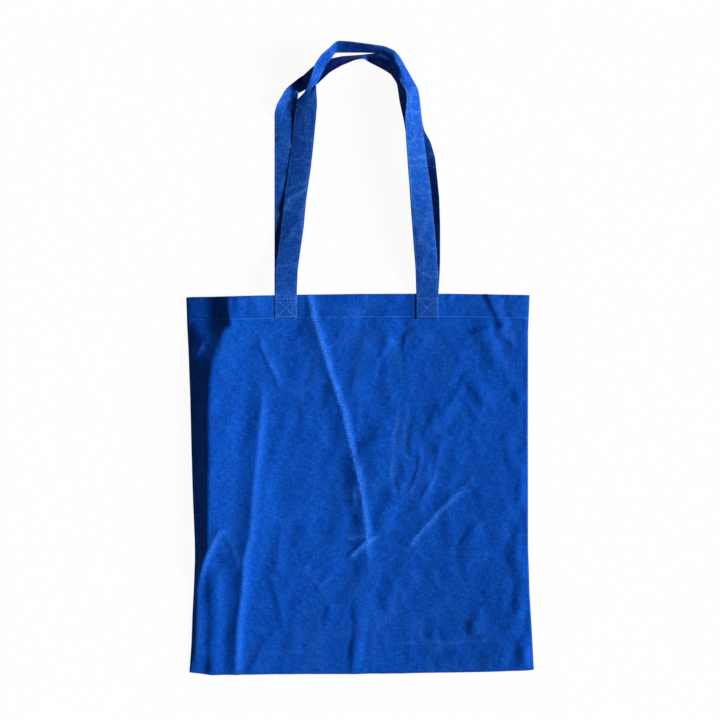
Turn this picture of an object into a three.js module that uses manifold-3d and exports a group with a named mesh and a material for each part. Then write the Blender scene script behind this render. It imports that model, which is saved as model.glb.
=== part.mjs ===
// A cotton tote bag lying on its back, empty, with both long handles drawn out above its mouth.
// Millimetres, +Z up. X runs across the bag, +Y runs from the bottom fold past the mouth to the handles.
// The origin is the middle of the whole outline, on the surface that the bag lies on.

import * as THREE from 'three';
import { mergeVertices } from 'three/addons/utils/BufferGeometryUtils.js';
import Module from 'manifold-3d';

const wasm = await Module();
wasm.setup();

// Bag sizes
const BAG_WIDTH = 380;
const BAG_HEIGHT = 420;
const CLOTH_WALL = 0.8;
const HEM_DEPTH = 25;
const HEM_WALL = 0.5;
const SEAM_WIDTH = 3;
const EDGE_THICKNESS = 3;

// How far the sides flare at two corners and draw in at the waist, because the cloth stands up in a fold
const LEFT_MOUTH_FLARE = 3;
const RIGHT_BOTTOM_FLARE = 3;
const LEFT_WAIST = 7.5;
const RIGHT_WAIST = 4;

// The fold that holds the front panel up, near the left side
const RIDGE_HEIGHT = 17;
const RIDGE_INSET = 19;
const RIDGE_INSET_AT_MOUTH = 36;
const RIDGE_SPREAD = 75;
const RIDGE_FOOT = 95;
const RIDGE_FULL = 170;
const RIDGE_FOOT_HEIGHT = 8;

// Handle sizes
const HANDLE_WIDTH = 25;
const HANDLE_THICKNESS = 1.3;
const HANDLE_RISE = 281;
const HANDLE_SPACING = 156;
const HANDLE_TAIL = 27;
const HANDLE_CENTRE = -3;

// Clearances: under and over a sewn end, and round it where the back panel rises over the back handle
const CLOTH_GAP = 0.3;
const SEWN_GAP = 0.45;
const LIFT_RAMP = 14;
const LIFT_MARGIN = 3;

// Mesh fineness, the step at the hem's edge and how far the cut for the inside runs past the mouth
const HEM_STEP = 0.3;
const SPARE_CUT = 20;
const HANDLE_STEPS = 72;
const HANDLE_STRIPS = 2;
const EDGE_TENSION = 0.3;
const MERGE_WITHIN = 1e-4;

const MOUTH = BAG_HEIGHT;
const HALF_BAND = HANDLE_WIDTH / 2;
const HALF_CLOTH = HANDLE_THICKNESS / 2;
const ON_FLOOR = HALF_CLOTH;
const LEFT_TAIL_X = HANDLE_CENTRE - HANDLE_SPACING / 2;
const RIGHT_TAIL_X = HANDLE_CENTRE + HANDLE_SPACING / 2;

const cotton = (colour) =>
  new THREE.MeshStandardMaterial({ color: colour, roughness: 0.92, metalness: 0 });
const bodyCotton = cotton(0x0a48b2);
const frontHandleCotton = cotton(0x0d4cb8);
const backHandleCotton = cotton(0x0b45aa);

// The two sides of the bag, drawn in a little between mouth and bottom
function sideX(side, y) {
  const v = THREE.MathUtils.clamp(y / BAG_HEIGHT, 0, 1);
  const half = BAG_WIDTH / 2;
  const bow = 4 * v * (1 - v);
  if (side < 0) {
    return -half - LEFT_MOUTH_FLARE * v + LEFT_WAIST * bow;
  }
  return half + RIGHT_BOTTOM_FLARE * (1 - v) - RIGHT_WAIST * bow;
}

// Where the raised fold runs, and how high it stands, at a distance y above the bottom
function ridgeX(y) {
  const spread = THREE.MathUtils.clamp((y - (MOUTH - RIDGE_SPREAD)) / RIDGE_SPREAD, 0, 1);
  return sideX(-1, y) + THREE.MathUtils.lerp(RIDGE_INSET, RIDGE_INSET_AT_MOUTH, spread);
}

function ridgeZ(y) {
  if (y <= RIDGE_FOOT) {
    return THREE.MathUtils.lerp(EDGE_THICKNESS, RIDGE_FOOT_HEIGHT, Math.max(y, 0) / RIDGE_FOOT);
  }
  const climb = Math.min((y - RIDGE_FOOT) / (RIDGE_FULL - RIDGE_FOOT), 1);
  return THREE.MathUtils.lerp(RIDGE_FOOT_HEIGHT, RIDGE_HEIGHT, climb);
}

// The outside of the front panel: up from the left seam to the fold, then down gently to the right seam
function frontZ(x, y) {
  const left = sideX(-1, y);
  const right = sideX(1, y);
  const ridge = ridgeX(y);
  const top = ridgeZ(y);
  if (x <= ridge) {
    return THREE.MathUtils.lerp(EDGE_THICKNESS, top, Math.max(x - left, 0) / (ridge - left));
  }
  return THREE.MathUtils.lerp(top, EDGE_THICKNESS, Math.min(x - ridge, right - ridge) / (right - ridge));
}

// The back panel lies flat, except where it rides over the sewn ends of the back handle
function backZ(x, y) {
  const lift = HANDLE_THICKNESS + CLOTH_GAP;
  const reach = HALF_BAND + LIFT_MARGIN;
  const beside = (tailX) => Math.max(Math.abs(x - tailX) - reach, 0) / LIFT_RAMP;
  const below = Math.max(MOUTH - HANDLE_TAIL - LIFT_MARGIN - y, 0) / LIFT_RAMP;
  const away = Math.min(Math.max(beside(LEFT_TAIL_X), below), Math.max(beside(RIGHT_TAIL_X), below));
  return lift * (1 - Math.min(away, 1));
}

// Grid lines of the panels, denser where the cloth bends
function gridColumns() {
  const reach = HALF_BAND + LIFT_MARGIN;
  const byTail = (tailX) => [-reach - LIFT_RAMP, -reach, reach, reach + LIFT_RAMP].map((d) => tailX + d);
  return [...byTail(LEFT_TAIL_X), 0.5 * (LEFT_TAIL_X + RIGHT_TAIL_X), ...byTail(RIGHT_TAIL_X)];
}

function gridRows() {
  const tail = MOUTH - HANDLE_TAIL - LIFT_MARGIN;
  const low = [0, RIDGE_FOOT / 2, RIDGE_FOOT, (RIDGE_FOOT + RIDGE_FULL) / 2, RIDGE_FULL];
  const middle = [1 / 3, 2 / 3].map((share) => THREE.MathUtils.lerp(RIDGE_FULL, MOUTH - RIDGE_SPREAD, share));
  return [...low, ...middle, MOUTH - RIDGE_SPREAD, tail - LIFT_RAMP, tail, MOUTH];
}

const COLUMNS = gridColumns();
const LEFT_COLUMNS = 3;
const RIGHT_COLUMNS = 4;

// One x of the grid: steps up the raised fold, then the fixed columns, then steps out to the right seam
function columnX(index, y, inset) {
  const left = sideX(-1, y) + inset;
  const right = sideX(1, y) - inset;
  const first = LEFT_COLUMNS + 1;
  if (index <= LEFT_COLUMNS) {
    return THREE.MathUtils.lerp(left, ridgeX(y), index / LEFT_COLUMNS);
  }
  if (index < first + COLUMNS.length) {
    return COLUMNS[index - first];
  }
  const last = COLUMNS[COLUMNS.length - 1];
  return THREE.MathUtils.lerp(last, right, (index - first - COLUMNS.length + 1) / RIGHT_COLUMNS);
}

// A box whose grid is moved onto the panels. shape gives its rows, its side inset and its two surfaces
function panelGeometry(shape) {
  const columns = LEFT_COLUMNS + COLUMNS.length + RIGHT_COLUMNS;
  const rows = shape.rows.length - 1;
  const geometry = new THREE.BoxGeometry(columns, rows, 1, columns, rows, 1);
  const place = geometry.attributes.position;
  for (let i = 0; i < place.count; i += 1) {
    const column = Math.round(place.getX(i) + columns / 2);
    const row = Math.round(place.getY(i) + rows / 2);
    const y = shape.rows[row];
    const x = columnX(column, y, shape.inset);
    const z = place.getZ(i) > 0 ? shape.top(x, y) : shape.under(x, y);
    place.setXYZ(i, x, y, z);
  }
  return geometry;
}

function toSolid(geometry) {
  const bare = geometry.clone();
  bare.deleteAttribute('normal');
  bare.deleteAttribute('uv');
  const merged = mergeVertices(bare, MERGE_WITHIN);
  const vertProperties = new Float32Array(merged.attributes.position.array);
  const triVerts = new Uint32Array(merged.index.array);
  return new wasm.Manifold(new wasm.Mesh({ numProp: 3, vertProperties, triVerts }));
}

function toGeometry(solid) {
  const mesh = solid.getMesh();
  const geometry = new THREE.BufferGeometry();
  geometry.setAttribute('position', new THREE.BufferAttribute(new Float32Array(mesh.vertProperties), 3));
  geometry.setIndex(new THREE.BufferAttribute(new Uint32Array(mesh.triVerts), 1));
  geometry.computeVertexNormals();
  return geometry;
}

// The outside of the pouch
function pouchOutside() {
  return panelGeometry({ rows: gridRows(), inset: 0, top: frontZ, under: backZ });
}

// The space inside, which runs out through the mouth. Within the hem it is narrower by the turned-in cloth
function pouchInside() {
  const hemLine = MOUTH - HEM_DEPTH;
  const hemStart = hemLine - HEM_STEP;
  const belowHem = gridRows().filter((y) => y > SEAM_WIDTH && y < hemStart - HEM_STEP);
  const rows = [SEAM_WIDTH, ...belowHem, hemStart, hemLine, MOUTH, MOUTH + SPARE_CUT];
  const turned = (y) => CLOTH_WALL + (y >= hemLine ? HEM_WALL : 0);
  return panelGeometry({
    rows,
    inset: SEAM_WIDTH,
    top: (x, y) => frontZ(x, Math.min(y, MOUTH)) - turned(y),
    under: (x, y) => backZ(x, Math.min(y, MOUTH)) + turned(y),
  });
}

function bagBody() {
  const pouch = toSolid(pouchOutside()).subtract(toSolid(pouchInside()));
  return toGeometry(pouch);
}

// A handle's way round, hand placed: x, distance past the mouth, height of its outer edge and inner edge.
// The band lies flat where both heights agree, and stands on its inner edge where the outer one is higher.
const FRONT_HANDLE_WAY = [
  [-80, 25, 11, 11.5],
  [-78, 49, 5.5, 7.5],
  [-74, 83, 2.8, 5.8],
  [-67, 150, 2.8, 6.4],
  [-62, 192, 4, 8],
  [-59, 216, 15, 11],
  [-52.5, 234, 33, 16],
  [-45.5, 250, 38, 16.5],
  [-34, 266, 35, 13],
  [-24, 274, 32, 9.5],
  [-14, 275.5, 30.5, 8],
  [4, 274.5, 30.5, 8],
  [22, 272, 30, 8],
  [33, 266.5, 28, 7.5],
  [41.5, 256, 26, 7.5],
  [49, 240, 22, 9],
  [55.5, 221, 15, 13],
  [58.5, 198, 8, 19],
  [62, 163, 7.5, 19],
  [65.5, 128, 10, 18],
  [67, 105, 10.5, 17],
  [69.5, 65, 10.5, 15],
  [72.5, 25, 10.5, 12.5],
];

const BACK_HANDLE_WAY = [
  [-82, 37, ON_FLOOR, ON_FLOOR],
  [-82.5, 83, ON_FLOOR, ON_FLOOR],
  [-83, 150, ON_FLOOR, ON_FLOOR],
  [-83, 190, ON_FLOOR, 1.5],
  [-81, 210, ON_FLOOR, 7],
  [-73, 224, ON_FLOOR, 10.5],
  [-58, 235.5, ON_FLOOR, 12],
  [-44, 245.5, ON_FLOOR, 12],
  [-34, 252.5, ON_FLOOR, 14],
  [-22, 258, ON_FLOOR, 20],
  [-10, 262, ON_FLOOR, 22.5],
  [4, 264, ON_FLOOR, 23.5],
  [17, 261.5, ON_FLOOR, 22],
  [29, 255, ON_FLOOR, 14],
  [40, 245, ON_FLOOR, 5],
  [50, 231, ON_FLOOR, 5],
  [56, 209, ON_FLOOR, 8],
  [60, 187, 2.5, 3],
  [69.5, 167, 6, ON_FLOOR],
  [74.5, 146, 12, ON_FLOOR],
  [77.5, 107, 14, ON_FLOOR],
  [77.5, 61, 12, ON_FLOOR],
  [76.5, 25, 5, ON_FLOOR],
];

const WAY_RISE = 281;
const WAY_SPACING = 156;
const WAY_WIDTH = 25;
const WAY_THICKNESS = 1.3;
const NEST_RISE = 2;

// A stop of the way in bag coordinates. A wider band stands higher, and so does one that lies over others:
// layers is how many thicknesses of band it clears
function wayStop([x, past, outer, inner], layers) {
  const grow = HANDLE_WIDTH / WAY_WIDTH;
  const stack = layers * (HANDLE_THICKNESS - WAY_THICKNESS + NEST_RISE * (grow - 1));
  return {
    x: HANDLE_CENTRE + (x - HANDLE_CENTRE) * (HANDLE_SPACING / WAY_SPACING),
    y: MOUTH + past * (HANDLE_RISE / WAY_RISE),
    outer: Math.max(outer * grow + stack, ON_FLOOR),
    inner: Math.max(inner * grow + stack, ON_FLOOR),
  };
}

// The stops of a sewn end, resting on the panel that surfaceZ describes
function sewnStops(tailX, outward, surfaceZ) {
  const stop = (y) => ({
    x: tailX,
    y,
    outer: surfaceZ(tailX + outward * HALF_BAND, Math.min(y, MOUTH)),
    inner: surfaceZ(tailX - outward * HALF_BAND, Math.min(y, MOUTH)),
  });
  return [stop(MOUTH - HANDLE_TAIL), stop(MOUTH - HANDLE_TAIL / 2), stop(MOUTH + LIFT_MARGIN)];
}

function handleStops(way, layers, surfaceZ) {
  const start = sewnStops(LEFT_TAIL_X, -1, surfaceZ);
  const finish = sewnStops(RIGHT_TAIL_X, 1, surfaceZ).reverse();
  return [...start, ...way.map((stop) => wayStop(stop, layers)), ...finish];
}

// The frame of the band at a share t of its way: two edge points and the direction square to the cloth
function bandFrame(middle, edges, t) {
  const at = middle.getPoint(t);
  const heights = edges.getPoint(t);
  const along = middle.getTangent(t);
  const level = new THREE.Vector2(-along.y, along.x).normalize();
  const rise = heights.x - heights.y;
  const plan = Math.sqrt(Math.max(HANDLE_WIDTH ** 2 - rise ** 2, 1)) / 2;
  const outer = new THREE.Vector3(at.x + level.x * plan, at.y + level.y * plan, heights.x);
  const inner = new THREE.Vector3(at.x - level.x * plan, at.y - level.y * plan, heights.y);
  const across = inner.clone().sub(outer).normalize();
  const square = across.clone().cross(along).normalize();
  if (square.z < 0) {
    square.negate();
  }
  return { outer, inner, square };
}

function handleBand(way, layers, surfaceZ) {
  const stops = handleStops(way, layers, surfaceZ);
  const middle = new THREE.CatmullRomCurve3(
    stops.map((s) => new THREE.Vector3(s.x, s.y, (s.outer + s.inner) / 2)), false, 'centripetal');
  const edges = new THREE.CatmullRomCurve3(
    stops.map((s) => new THREE.Vector3(s.outer, s.inner, 0)), false, 'catmullrom', EDGE_TENSION);
  const geometry = new THREE.BoxGeometry(1, 1, 1, HANDLE_STRIPS, HANDLE_STEPS, 1);
  const place = geometry.attributes.position;
  for (let i = 0; i < place.count; i += 1) {
    const frame = bandFrame(middle, edges, place.getY(i) + 0.5);
    const point = frame.outer.lerp(frame.inner, 0.5 + place.getX(i));
    point.addScaledVector(frame.square, Math.sign(place.getZ(i)) * HALF_CLOTH);
    place.setXYZ(i, point.x, point.y, Math.max(point.z, 0));
  }
  return toGeometry(toSolid(geometry));
}

// The front handle is sewn on top of the front panel, the back handle lies under the back panel
const onFront = (x, y) => frontZ(x, y) + SEWN_GAP + HALF_CLOTH;
const underBack = () => ON_FLOOR;

function namedMesh(name, geometry, material) {
  const mesh = new THREE.Mesh(geometry, material);
  mesh.name = name;
  return mesh;
}

const bag = new THREE.Group();
bag.add(namedMesh('bag_body', bagBody(), bodyCotton));
bag.add(namedMesh('front_handle', handleBand(FRONT_HANDLE_WAY, 2, onFront), frontHandleCotton));
bag.add(namedMesh('back_handle', handleBand(BACK_HANDLE_WAY, 0, underBack), backHandleCotton));

// Middle the outline on the origin
const outline = new THREE.Box3().setFromObject(bag);
const middle = outline.getCenter(new THREE.Vector3());
bag.position.set(-middle.x, -middle.y, 0);

const scene = new THREE.Group();
scene.add(bag);

export default scene;
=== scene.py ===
# %% [markdown]
# # A cotton tote bag, laid out empty
# This lesson builds a plain blue tote bag that lies on its back, with its two long handles drawn out
# above the mouth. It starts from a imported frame, which holds three simple solids: the bag's body and its
# two handles. Here each of them is replaced by cloth with real folds, hems, seams and stitches.
# All lengths are metres, and the long lists of places are in millimetres, turned into metres on use.

# %% Load the frame
import math

import bpy
import numpy as np
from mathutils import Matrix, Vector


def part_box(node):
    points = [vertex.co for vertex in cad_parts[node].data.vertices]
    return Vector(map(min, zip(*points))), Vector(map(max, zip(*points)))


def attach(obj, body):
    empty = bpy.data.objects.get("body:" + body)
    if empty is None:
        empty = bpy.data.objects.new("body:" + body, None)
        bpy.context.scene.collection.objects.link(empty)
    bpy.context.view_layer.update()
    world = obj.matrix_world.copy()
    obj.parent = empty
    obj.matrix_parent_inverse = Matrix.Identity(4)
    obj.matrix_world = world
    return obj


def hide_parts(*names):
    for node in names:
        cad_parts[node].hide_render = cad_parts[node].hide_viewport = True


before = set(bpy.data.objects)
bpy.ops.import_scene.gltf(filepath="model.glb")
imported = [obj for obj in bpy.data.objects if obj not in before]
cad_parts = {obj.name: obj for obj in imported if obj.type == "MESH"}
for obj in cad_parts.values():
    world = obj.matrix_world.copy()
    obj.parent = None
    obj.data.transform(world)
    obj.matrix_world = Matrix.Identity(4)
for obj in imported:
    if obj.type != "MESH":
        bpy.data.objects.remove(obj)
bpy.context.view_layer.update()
MM = 0.001
body_low, body_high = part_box("bag_body")
MOUTH_Y = body_high[1]
BOTTOM_Y = body_low[1]
BAG_HEIGHT = MOUTH_Y - BOTTOM_Y
print("mouth at", round(MOUTH_Y, 4), "bag height", round(BAG_HEIGHT, 4))

# %% [markdown]
# ## Camera
# The bag is seen square from the front, so the camera hangs straight above it and looks down. A long lens
# from far away keeps the raised folds from leaning outwards. VIEW_SPAN is how much of the floor the
# picture takes in from side to side.

# %% Hang the camera over the bag
CAMERA_HEIGHT = 9.0
VIEW_SPAN = 0.8
VIEW_DOWN = 0.0029
SENSOR = 36.0

camera_data = bpy.data.cameras.new("camera")
camera_data.sensor_width = SENSOR
camera_data.lens = SENSOR * CAMERA_HEIGHT / VIEW_SPAN
camera = bpy.data.objects.new("camera", camera_data)
camera.location = (0, -VIEW_DOWN, CAMERA_HEIGHT)
bpy.context.scene.collection.objects.link(camera)
bpy.context.scene.camera = camera
print("lens", round(camera_data.lens), "mm")

# %% [markdown]
# ## Light
# Creased cloth only shows its folds when the light comes low and from one side. One large soft lamp stands
# to the right of the bag, so slopes that face right turn bright and slopes that face left fall into
# shadow. An even pale world fills those shadows a little. The two strengths add up to LEVEL_LIGHT on a
# level surface. A value of 1 would show a flat colour just as it is written. It is slightly less here,
# because much of this cloth slopes towards the lamp.

# %% Set the lamp and the world
LAMP_ELEVATION = 22
LAMP_AZIMUTH = -3
LAMP_SPREAD = 20
FILL = 0.09
LEVEL_LIGHT = 0.97

lamp_data = bpy.data.lights.new("side lamp", "SUN")
lamp_data.energy = (LEVEL_LIGHT - FILL) * math.pi / math.sin(math.radians(LAMP_ELEVATION))
lamp_data.angle = math.radians(LAMP_SPREAD)
lamp = bpy.data.objects.new("side lamp", lamp_data)
lamp.rotation_euler = (0, math.radians(90 - LAMP_ELEVATION), math.radians(LAMP_AZIMUTH))
bpy.context.scene.collection.objects.link(lamp)

world = bpy.data.worlds.new("pale room")
world.use_nodes = True
world.node_tree.nodes["Background"].inputs["Color"].default_value = (1, 1, 1, 1)
world.node_tree.nodes["Background"].inputs["Strength"].default_value = FILL
bpy.context.scene.world = world
bpy.context.scene.view_settings.view_transform = "Standard"
print("lamp strength", round(lamp_data.energy, 2))

# %% [markdown]
# ## Drawing node trees
# The floor, the cotton and the stitches are all drawn as node trees. This helper places a node, gives it its
# values and joins it up in one line, so that the recipes below stay short. A value is a number, a colour
# or another node's output.

# %% A helper that draws node trees
def colour(red, green, blue):
    """A colour given as 0 to 255, as the linear values that a shader takes."""
    def linear(value):
        value = value / 255
        return value / 12.92 if value <= 0.04045 else ((value + 0.055) / 1.055) ** 2.4

    return (linear(red), linear(green), linear(blue), 1.0)


class Tree:
    def __init__(self, tree):
        self.tree = tree

    def give(self, socket, value):
        if isinstance(value, bpy.types.NodeSocket):
            self.tree.links.new(value, socket)
        else:
            socket.default_value = value

    def add(self, kind, values=None, **settings):
        node = self.tree.nodes.new(kind)
        for name, setting in settings.items():
            setattr(node, name, setting)
        for name, value in (values or {}).items():
            self.give(node.inputs[name], value)
        return node

    def group(self, node_tree, values):
        return self.add("ShaderNodeGroup", values, node_tree=node_tree).outputs

    def math(self, operation, first, second=0.0, clamp=False):
        node = self.add("ShaderNodeMath", {0: first, 1: second}, operation=operation, use_clamp=clamp)
        return node.outputs[0]

    def plus(self, first, second):
        return self.math("ADD", first, second)

    def times(self, first, second):
        return self.math("MULTIPLY", first, second)

    def vector(self, operation, first, second):
        """Arithmetic on a vector. The second value is a number for SCALE, and otherwise a vector."""
        slot = "Scale" if operation == "SCALE" else 1
        return self.add("ShaderNodeVectorMath", {0: first, slot: second}, operation=operation).outputs[0]

    def blend(self, share, first, second):
        """A mix of two colours: first where share is 0, second where it is 1."""
        return self.add("ShaderNodeMix", {0: share, 6: first, 7: second}, data_type="RGBA").outputs[2]

    def noise(self, vector, scale, detail):
        return self.add("ShaderNodeTexNoise", {"Vector": vector, "Scale": scale, "Detail": detail}).outputs

    def ramp(self, value, low, high, at_low=0.0, at_high=1.0, **settings):
        """Goes from at_low to at_high while the value goes from low to high."""
        span = {"Value": value, "From Min": low, "From Max": high, "To Min": at_low, "To Max": at_high}
        return self.add("ShaderNodeMapRange", span, **settings).outputs[0]


def new_group(name, inputs, outputs, tree_kind="ShaderNodeTree"):
    """An empty group. Each socket is given with its kind, or as a number with the value it starts from."""
    group = bpy.data.node_groups.new(name, tree_kind)
    for way, sockets in (("INPUT", inputs), ("OUTPUT", outputs)):
        for label, given in sockets.items():
            kind = given if isinstance(given, str) else "Float"
            socket = group.interface.new_socket(label, in_out=way, socket_type="NodeSocket" + kind)
            if given is not kind:
                socket.default_value = given
    start = group.nodes.new("NodeGroupInput")
    end = group.nodes.new("NodeGroupOutput")
    return Tree(group), start.outputs, end.inputs


def new_material(name):
    """A new material, the helper that draws in it, and its shader."""
    material = bpy.data.materials.new(name)
    material.use_nodes = True
    return material, Tree(material.node_tree), material.node_tree.nodes["Principled BSDF"]


print("a written blue of 10, 72, 178 is", [round(value, 3) for value in colour(10, 72, 178)[:3]])

# %% [markdown]
# ## Floor
# The bag lies on a plain white sheet. The camera sees the floor mostly as glowing white, which keeps the
# background clean and still leaves a faint shadow beside the cloth. Mirror-like and see-through rays see
# the same glow. Soft light that bounces off the floor sees plain white paint, so the glow throws no extra
# light on the bag.

# %% Lay the floor
FLOOR_SIZE = 6.0
FLOOR_PAINT = 0.9
FLOOR_GLOW = 0.95


def floor_material():
    material, tree, shader = new_material("white floor")
    tree.tree.nodes.remove(shader)
    paint = tree.add("ShaderNodeBsdfDiffuse", {"Color": (FLOOR_PAINT, FLOOR_PAINT, FLOOR_PAINT, 1)})
    glow = tree.add("ShaderNodeEmission")
    ray = tree.add("ShaderNodeLightPath").outputs
    seen = ray["Is Camera Ray"]
    for label in ("Is Glossy Ray", "Is Transmission Ray"):
        seen = tree.math("MAXIMUM", seen, ray[label])
    share = tree.times(seen, FLOOR_GLOW)
    mix = tree.add("ShaderNodeMixShader", {0: share, 1: paint.outputs[0], 2: glow.outputs[0]})
    tree.give(tree.tree.nodes["Material Output"].inputs["Surface"], mix.outputs[0])
    return material


def lay_floor():
    half = FLOOR_SIZE / 2
    mesh = bpy.data.meshes.new("floor")
    corners = [(-half, -half, 0), (half, -half, 0), (half, half, 0), (-half, half, 0)]
    mesh.from_pydata(corners, [], [(0, 1, 2, 3)])
    mesh.materials.append(floor_material())
    floor = bpy.data.objects.new("floor", mesh)
    bpy.context.scene.collection.objects.link(floor)


lay_floor()
print("floor", FLOOR_SIZE, "m wide")

# %% [markdown]
# ## Cotton
# The cloth is a light plain weave, dyed one blue. Close up, each yarn passes over and under its
# neighbours. From a little further away that grid disappears, and what the eye sees is uneven yarn: thick
# and thin places that run along the two thread directions, with a few pale specks of fluff. Creases that
# have been rubbed are paler too, and the same pale colour reaches wider on the side of a crease that faces
# the lamp, where it is a painted highlight. These effects are wanted on the body, the handles and nowhere
# else, so each is a node group that takes its place in every cotton material with its own values.
#
# ### Plain weave
# In a plain weave, warp and weft take turns on top, like the squares of a chessboard. Each yarn is a
# rounded ridge, so a sine wave across it will do. The pattern is measured along the cloth in metres
# through the UV map, so it follows every fold and never stretches.

# %% The weave group
def weave_group():
    tree, given, result = new_group(
        "plain weave", {"Cloth": "Vector", "Yarns per metre": 2000.0}, {"Height": "Float"}
    )
    scaled = tree.vector("SCALE", given["Cloth"], given["Yarns per metre"])
    place = tree.add("ShaderNodeSeparateXYZ", {0: scaled}).outputs
    ridges = []
    for axis in (0, 1):
        ridges.append(tree.math("ABSOLUTE", tree.math("SINE", tree.times(place[axis], math.pi))))
    cells = tree.plus(tree.math("FLOOR", place[0]), tree.math("FLOOR", place[1]))
    warp_on_top = tree.math("FLOORED_MODULO", cells, 2.0)
    weft_on_top = tree.math("SUBTRACT", 1.0, warp_on_top)
    height = tree.plus(tree.times(ridges[0], warp_on_top), tree.times(ridges[1], weft_on_top))
    tree.give(result["Height"], height)
    return tree.tree


plain_weave = weave_group()
print("made", plain_weave.name)

# %% [markdown]
# ### Uneven yarn
# Slubs are the thick places of a yarn. They are long and thin, so this is ordinary noise squeezed across
# the thread and stretched along it, once for the warp and once for the weft. The two add up to the
# mottled look of cheap cotton, with a little large, cloudy noise on top. The shade range is set so that
# most of the cloth keeps its darker blue and only the thickest yarn stands out pale. Rare bright ends of
# fibre are added as specks.

# %% The uneven yarn group
YARN_SHARE = 0.86
SHADE_RANGE = (0.46, 0.74)
FLUFF_PER_METRE = 900.0
SPECK_RANGE = (0.68, 0.8)


def yarn_group():
    tree, given, result = new_group(
        "uneven yarn",
        {"Cloth": "Vector", "Fineness": 700.0, "Slub length": 4.5, "Cloud size": 0.02},
        {"Shade": "Float", "Specks": "Float", "Height": "Float"},
    )
    along = tree.math("DIVIDE", given["Fineness"], given["Slub length"])
    slubs = []
    for names in (("X", "Y"), ("Y", "X")):
        stretch = tree.add("ShaderNodeCombineXYZ", {names[0]: given["Fineness"], names[1]: along})
        squeezed = tree.vector("MULTIPLY", given["Cloth"], stretch.outputs[0])
        slubs.append(tree.noise(squeezed, 1.0, 2.0)["Fac"])
    yarn = tree.times(tree.plus(slubs[0], slubs[1]), 0.5)
    clouds = tree.noise(given["Cloth"], tree.math("DIVIDE", 1.0, given["Cloud size"]), 3.0)["Fac"]
    mixed = tree.plus(tree.times(yarn, YARN_SHARE), tree.times(clouds, 1 - YARN_SHARE))
    fluff = tree.noise(given["Cloth"], FLUFF_PER_METRE, 1.0)["Fac"]
    tree.give(result["Shade"], tree.ramp(mixed, *SHADE_RANGE))
    tree.give(result["Specks"], tree.ramp(fluff, *SPECK_RANGE))
    tree.give(result["Height"], yarn)
    return tree.tree


uneven_yarn = yarn_group()
print("made", uneven_yarn.name)

# %% [markdown]
# ### Rubbed creases
# Where cotton has been pressed into a crease, the dye wears off the top of the yarn. Each cloth mesh
# carries an attribute for this line, which is 1 on it and 0 away from it. On the side of a crease that
# faces the lamp the line is drawn wider, and there its pale colour is a painted highlight, not wear. This
# group turns it into a paler colour, broken up by fine noise so that it doesn't look drawn with a pen.

# %% The rubbed crease and painted highlight group
PATCHES_PER_METRE = 500.0
PATCH_RANGE = (0.35, 0.65)


def rub_and_highlight_group():
    tree, given, result = new_group(
        "rubbed and highlighted creases",
        {"Cloth": "Vector", "Colour": "Color", "Worn and highlight colour": "Color", "Rub and highlight": 0.0, "Amount": 0.5},
        {"Colour": "Color"},
    )
    patchy = tree.ramp(tree.noise(given["Cloth"], PATCHES_PER_METRE, 2.0)["Fac"], *PATCH_RANGE)
    share = tree.math("MULTIPLY", tree.times(given["Rub and highlight"], given["Amount"]), patchy, clamp=True)
    tree.give(result["Colour"], tree.blend(share, given["Colour"], given["Worn and highlight colour"]))
    return tree.tree


rubbed_and_highlighted_creases = rub_and_highlight_group()
print("made", rubbed_and_highlighted_creases.name)

# %% [markdown]
# ### Fine wrinkles
# Creases thinner than the mesh's own squares are left to the bump. They run as a net of short lines, the
# borders of random cells, pushed about by noise so that no line is straight. A second noise, at a larger
# scale, lets them come and go, as a real crumple does. A third is a soft crinkle all over.

# %% The fine wrinkle group
DRIFT_PER_METRE = 60.0
AREAS_PER_METRE = 16.0
AREA_RANGE = (0.42, 0.7)
CRINKLES_PER_METRE = 110.0
LINE_WIDTH = 0.16
LINE_HEIGHT = 0.12


def wrinkle_group():
    tree, given, result = new_group(
        "fine wrinkles", {"Cloth": "Vector", "Wrinkle size": 0.016, "Wander": 0.012}, {"Height": "Float"}
    )
    cloth = given["Cloth"]
    drift = tree.vector("SCALE", tree.noise(cloth, DRIFT_PER_METRE, 2.0)["Color"], given["Wander"])
    scale = tree.math("DIVIDE", 1.0, given["Wrinkle size"])
    spread = {"Vector": tree.vector("ADD", cloth, drift), "Scale": scale}
    distance = tree.add("ShaderNodeTexVoronoi", spread, feature="DISTANCE_TO_EDGE").outputs["Distance"]
    lines = tree.ramp(distance, 0.0, LINE_WIDTH, 1.0, 0.0, interpolation_type="SMOOTHSTEP")
    here = tree.ramp(tree.noise(cloth, AREAS_PER_METRE, 1.0)["Fac"], *AREA_RANGE)
    creases = tree.times(tree.times(lines, here), LINE_HEIGHT)
    crinkle = tree.noise(cloth, CRINKLES_PER_METRE, 3.0)["Fac"]
    tree.give(result["Height"], tree.plus(creases, crinkle))
    return tree.tree


fine_wrinkles = wrinkle_group()
print("made", fine_wrinkles.name)

# %% [markdown]
# ### The cotton materials
# All cotton here is one recipe with a few values changed: the body, and the two handles, whose folded
# cloth is a touch paler. Dyed cotton is matte. Light that glances off it has passed through the dyed
# fibres, so the weak reflection is tinted, and glance is its colour. Loose fibres swallow it where the
# cloth turns away from the eye, so there the reflection fades out. Some file formats can't carry that
# fading, and PLAIN_SHINE stands in for it there. The weave, the slubs and the wrinkles go into one bump.

# %% Mix the cotton
YARN_RELIEF = 0.07 * MM
WEAVE_RELIEF = 0.09 * MM
SPECK_SHARE = 0.5
# how pale the crease lines turn, wear and painted highlight together
WEAR_AND_HIGHLIGHT = 0.5
PLAIN_SHINE = 0.1
SHINE_FACING = (0.15, 0.55)
SHINE = (0.13, 0.02)


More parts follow.
